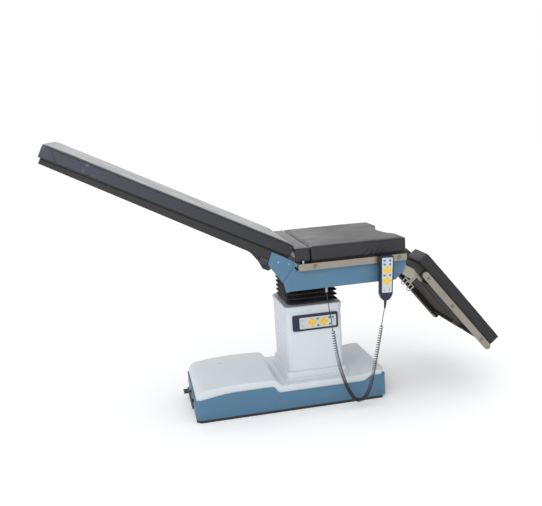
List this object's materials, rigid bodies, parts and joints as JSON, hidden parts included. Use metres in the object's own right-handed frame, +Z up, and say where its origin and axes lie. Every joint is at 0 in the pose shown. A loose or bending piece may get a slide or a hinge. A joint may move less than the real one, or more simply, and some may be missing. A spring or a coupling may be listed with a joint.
{
  "type": "operating table",
  "caption": "Operating table: wide base, lifting column with bellows, tilting seat frame, raised back section, folded split leg sections, side rails and a corded handset.",
  "frame": {"origin": "on the floor, below the centre of the column, on the base plate's underside", "axes": "+X towards the leg sections, +Y to the far side, away from the handset, +Z up"},
  "size_m": [1.8933, 0.5935, 1.2242],
  "materials": {
    "black_steel": "satin black paint",
    "blue_paint": "satin grey-blue paint",
    "white_cover": "moulded, cool white",
    "steel": "brushed",
    "chrome": "polished",
    "bellows_rubber": "matt black",
    "navy_plastic": "dark navy",
    "cast_frame": "painted casting",
    "black_plastic": "matt",
    "black_board": "dark board",
    "cushion_vinyl": "charcoal coated fabric",
    "rail_steel": "brushed, warm grey",
    "grey_plastic": "light grey",
    "cord_rubber": "black",
    "pedal_rubber": "ribbed black",
    "bracket_casting": "cast aluminium",
    "castor_tyre": "grey-black"
  },
  "bodies": {
    "base": {"base_plate": "black_steel", "base_skirt": "blue_paint", "base_cover": "white_cover", "power_unit": "black_steel", "column_plinth": "white_cover", "column_shell": "white_cover", "column_cap": "white_cover", "fixed_guide": "steel", "lift_cylinder": "steel", "bellows": "bellows_rubber", "panel_bezel": "navy_plastic", "pedal_bearings": "steel"},
    "lift_head": {"moving_guide": "steel", "lift_rod": "chrome", "head_clevis": "cast_frame", "trend_gearmotor": "black_plastic"},
    "tilt_cross_body": {"tilt_cross": "cast_frame"},
    "table_frame": {"seat_frame": "black_steel", "tilt_gearmotor": "black_plastic", "table_skirt": "blue_paint", "seat_board": "black_board", "seat_cushion": "cushion_vinyl", "side_rails": "rail_steel", "rail_spacers": "steel", "back_gearmotors": "black_plastic", "handset_body": "navy_plastic", "handset_relief": "cord_rubber", "cord_socket": "grey_plastic"},
    "kidney_bridge": {"kidney_board": "black_board", "kidney_cushion": "cushion_vinyl"},
    "back_section": {"back_frame": "black_steel", "back_board": "black_board", "back_arms": "blue_paint", "back_pins": "steel", "back_latches": "steel", "back_cushion": "cushion_vinyl"},
    "leg_arm_near": {"leg_bracket_near": "bracket_casting"},
    "leg_arm_far": {"leg_bracket_far": "bracket_casting"},
    "leg_plate_near": {"leg_frame_near": "black_board", "leg_rail_near": "rail_steel", "leg_cushion_near": "cushion_vinyl"},
    "leg_plate_far": {"leg_frame_far": "black_board", "leg_rail_far": "rail_steel", "leg_cushion_far": "cushion_vinyl"},
    "lever_near": {"leg_lever_near": "chrome"},
    "lever_far": {"leg_lever_far": "chrome"},
    "cord_loop": {"cord_lead_socket": "cord_rubber", "cord_coil": "cord_rubber", "cord_lead_handset": "cord_rubber"},
    "pedal": {"pedal_bar": "black_steel", "pedal_pad": "pedal_rubber"},
    "castor_carriage": {"carriage_frame": "black_steel"},
    "castor_1": {"castor_fork_1": "steel"},
    "wheel_1": {"castor_wheel_1": "castor_tyre"},
    "castor_2": {"castor_fork_2": "steel"},
    "wheel_2": {"castor_wheel_2": "castor_tyre"},
    "castor_3": {"castor_fork_3": "steel"},
    "wheel_3": {"castor_wheel_3": "castor_tyre"},
    "castor_4": {"castor_fork_4": "steel"},
    "wheel_4": {"castor_wheel_4": "castor_tyre"}
  },
  "joints": [
    {"name": "column_lift", "type": "slide", "parent": "base", "child": "lift_head", "axis": [0, 0, 1], "range_m": [-0.02, 0.25], "deforming": ["bellows"]},
    {"name": "trend_tilt", "type": "hinge", "parent": "lift_head", "child": "tilt_cross_body", "pos_m": [0, 0, 0.612], "axis": [0, -1, 0], "range_deg": [-15, 25]},
    {"name": "lateral_tilt", "type": "hinge", "parent": "tilt_cross_body", "child": "table_frame", "pos_m": [0, 0, 0.612], "axis": [1, 0, 0], "range_deg": [-15, 15]},
    {"name": "kidney_lift", "type": "slide", "parent": "table_frame", "child": "kidney_bridge", "axis": [0, 0, -1], "range_m": [-0.1, 0]},
    {"name": "back_hinge", "type": "hinge", "parent": "table_frame", "child": "back_section", "pos_m": [-0.0884, 0, 0.658], "axis": [0, 1, 0], "range_deg": [-47.14, 47.86], "deforming": ["kidney_cushion"]},
    {"name": "leg_fold_near", "type": "hinge", "parent": "table_frame", "child": "leg_arm_near", "pos_m": [0.3684, 0, 0.6043], "axis": [0, 1, 0], "range_deg": [-51.5, 38.5]},
    {"name": "leg_swing_near", "type": "hinge", "parent": "leg_arm_near", "child": "leg_plate_near", "pos_m": [0.47986, -0.215, 0.53758], "axis": [-0.7826, 0, -0.6225], "range_deg": [0, 90]},
    {"name": "leg_release_near", "type": "hinge", "parent": "leg_arm_near", "child": "lever_near", "pos_m": [0.41969, -0.228, 0.52167], "axis": [0.6225, 0, -0.7826], "range_deg": [0, 30]},
    {"name": "leg_fold_far", "type": "hinge", "parent": "table_frame", "child": "leg_arm_far", "pos_m": [0.3684, 0, 0.6043], "axis": [0, 1, 0], "range_deg": [-51.5, 38.5]},
    {"name": "leg_swing_far", "type": "hinge", "parent": "leg_arm_far", "child": "leg_plate_far", "pos_m": [0.47986, 0.215, 0.53758], "axis": [0.7826, 0, 0.6225], "range_deg": [0, 90]},
    {"name": "leg_release_far", "type": "hinge", "parent": "leg_arm_far", "child": "lever_far", "pos_m": [0.41969, 0.228, 0.52167], "axis": [-0.6225, 0, 0.7826], "range_deg": [0, 30]},
    {"name": "cord_hang", "type": "hinge", "parent": "table_frame", "child": "cord_loop", "pos_m": [0.033, -0.254, 0.529], "axis": [0.9252, -0.1773, -0.3354], "range_deg": [-15, 15]},
    {"name": "pedal_press", "type": "hinge", "parent": "base", "child": "pedal", "pos_m": [-0.5, 0, 0.06], "axis": [0, -1, 0], "range_deg": [0, 15]},
    {"name": "castor_drop", "type": "slide", "parent": "base", "child": "castor_carriage", "axis": [0, 0, -1], "range_m": [0, 0.00999]},
    {"name": "castor_swivel_1", "type": "hinge", "parent": "castor_carriage", "child": "castor_1", "pos_m": [-0.43, -0.135, 0.09], "axis": [0, 0, 1], "continuous": true},
    {"name": "wheel_spin_1", "type": "hinge", "parent": "castor_1", "child": "wheel_1", "pos_m": [-0.45, -0.135, 0.0395], "axis": [0, 1, 0], "continuous": true},
    {"name": "castor_swivel_2", "type": "hinge", "parent": "castor_carriage", "child": "castor_2", "pos_m": [-0.43, 0.135, 0.09], "axis": [0, 0, 1], "continuous": true},
    {"name": "wheel_spin_2", "type": "hinge", "parent": "castor_2", "child": "wheel_2", "pos_m": [-0.45, 0.135, 0.0395], "axis": [0, 1, 0], "continuous": true},
    {"name": "castor_swivel_3", "type": "hinge", "parent": "castor_carriage", "child": "castor_3", "pos_m": [0.215, -0.135, 0.09], "axis": [0, 0, 1], "continuous": true},
    {"name": "wheel_spin_3", "type": "hinge", "parent": "castor_3", "child": "wheel_3", "pos_m": [0.195, -0.135, 0.0395], "axis": [0, 1, 0], "continuous": true},
    {"name": "castor_swivel_4", "type": "hinge", "parent": "castor_carriage", "child": "castor_4", "pos_m": [0.215, 0.135, 0.09], "axis": [0, 0, 1], "continuous": true},
    {"name": "wheel_spin_4", "type": "hinge", "parent": "castor_4", "child": "wheel_4", "pos_m": [0.195, 0.135, 0.0395], "axis": [0, 1, 0], "continuous": true}
  ],
  "couplings": [
    {"joint": "cord_hang", "follows": "lateral_tilt", "ratio": -1},
    {"joint": "pedal_press", "follows": "castor_drop", "rad_per_m": 26.18}
  ]
}
